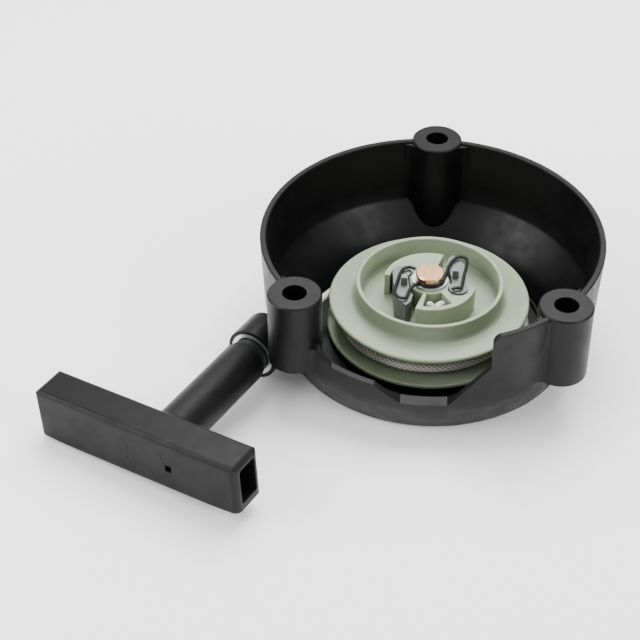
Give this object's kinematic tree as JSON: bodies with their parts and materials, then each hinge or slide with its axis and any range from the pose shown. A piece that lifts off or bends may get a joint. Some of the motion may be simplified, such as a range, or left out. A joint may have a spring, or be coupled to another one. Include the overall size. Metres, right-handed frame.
{
  "type": "recoil starter",
  "caption": "Pull-cord recoil starter: round housing with screw bosses, sprung rope reel with pawls and friction spring, and a T-shaped grip on the rope.",
  "frame": {"origin": "on the axis that the reel and the engine's crankshaft turn about, in the plane of the flat outer face that the starter rests on", "axes": "+Z along the reel axis towards the engine side; +Y from the axis to the rear screw boss; the rope is pulled out towards -X -Y"},
  "size_m": [0.1883, 0.1703, 0.046],
  "materials": {
    "housing_nylon": "glass-filled nylon, moulded, semi-matt",
    "handle_plastic": "moulded plastic, semi-matt",
    "reel_nylon": "natural nylon, pale grey-green, slightly translucent",
    "pin_brass": "turned, smooth",
    "steel": "plated, fine brushed",
    "spring_steel": "blued strip",
    "guide_metal": "turned, satin",
    "black_wire": "black oxide, smooth",
    "sintered_steel": "sintered, steam treated",
    "rope": "braided nylon"
  },
  "bodies": {
    "housing": {"housing": "housing_nylon", "rope_guide": "guide_metal", "axle_bush": "steel", "centre_pin": "pin_brass", "centre_screw": "steel", "screw_washer": "steel", "thrust_shim": "steel", "thrust_washer": "steel", "rope_lead": "rope"},
    "reel": {"reel": "reel_nylon", "spring_case": "steel", "mainspring": "spring_steel", "rope_coil": "rope", "reel_knot": "rope"},
    "friction_spring": {"friction_spring": "black_wire"},
    "pawl_a": {"pawl_a": "sintered_steel"},
    "pawl_b": {"pawl_b": "sintered_steel"},
    "handle": {"handle_grip": "handle_plastic", "handle_cap": "handle_plastic", "knot_washer": "steel", "handle_knot": "rope", "rope_run": "rope"}
  },
  "joints": [
    {"name": "handle_pull", "type": "slide", "parent": "housing", "child": "handle", "axis": [-0.454, -0.891, 0], "range_m": [0, 0.7], "stiffness_N_per_m": 20, "springref_m": -0.5, "deforming": ["rope_run"]},
    {"name": "reel_spin", "type": "hinge", "parent": "housing", "child": "reel", "pos_m": [0, 0, 0], "axis": [0, 0, 1], "range_deg": [0, 1280], "deforming": ["mainspring"]},
    {"name": "spring_drag", "type": "hinge", "parent": "reel", "child": "friction_spring", "pos_m": [0, 0, 0.025], "axis": [0, 0, 1], "range_deg": [-25, 0]},
    {"name": "pawl_a_swing", "type": "hinge", "parent": "reel", "child": "pawl_a", "pos_m": [-0.01018, 0.00391, 0.02], "axis": [0, 0, 1], "range_deg": [-20, 0]},
    {"name": "pawl_b_swing", "type": "hinge", "parent": "reel", "child": "pawl_b", "pos_m": [0.01018, -0.00391, 0.02], "axis": [0, 0, 1], "range_deg": [-20, 0]}
  ],
  "couplings": [
    {"joint": "reel_spin", "follows": "handle_pull", "rad_per_m": 31.397},
    {"joint": "pawl_a_swing", "follows": "spring_drag", "ratio": 0.8},
    {"joint": "pawl_b_swing", "follows": "spring_drag", "ratio": 0.8}
  ]
}
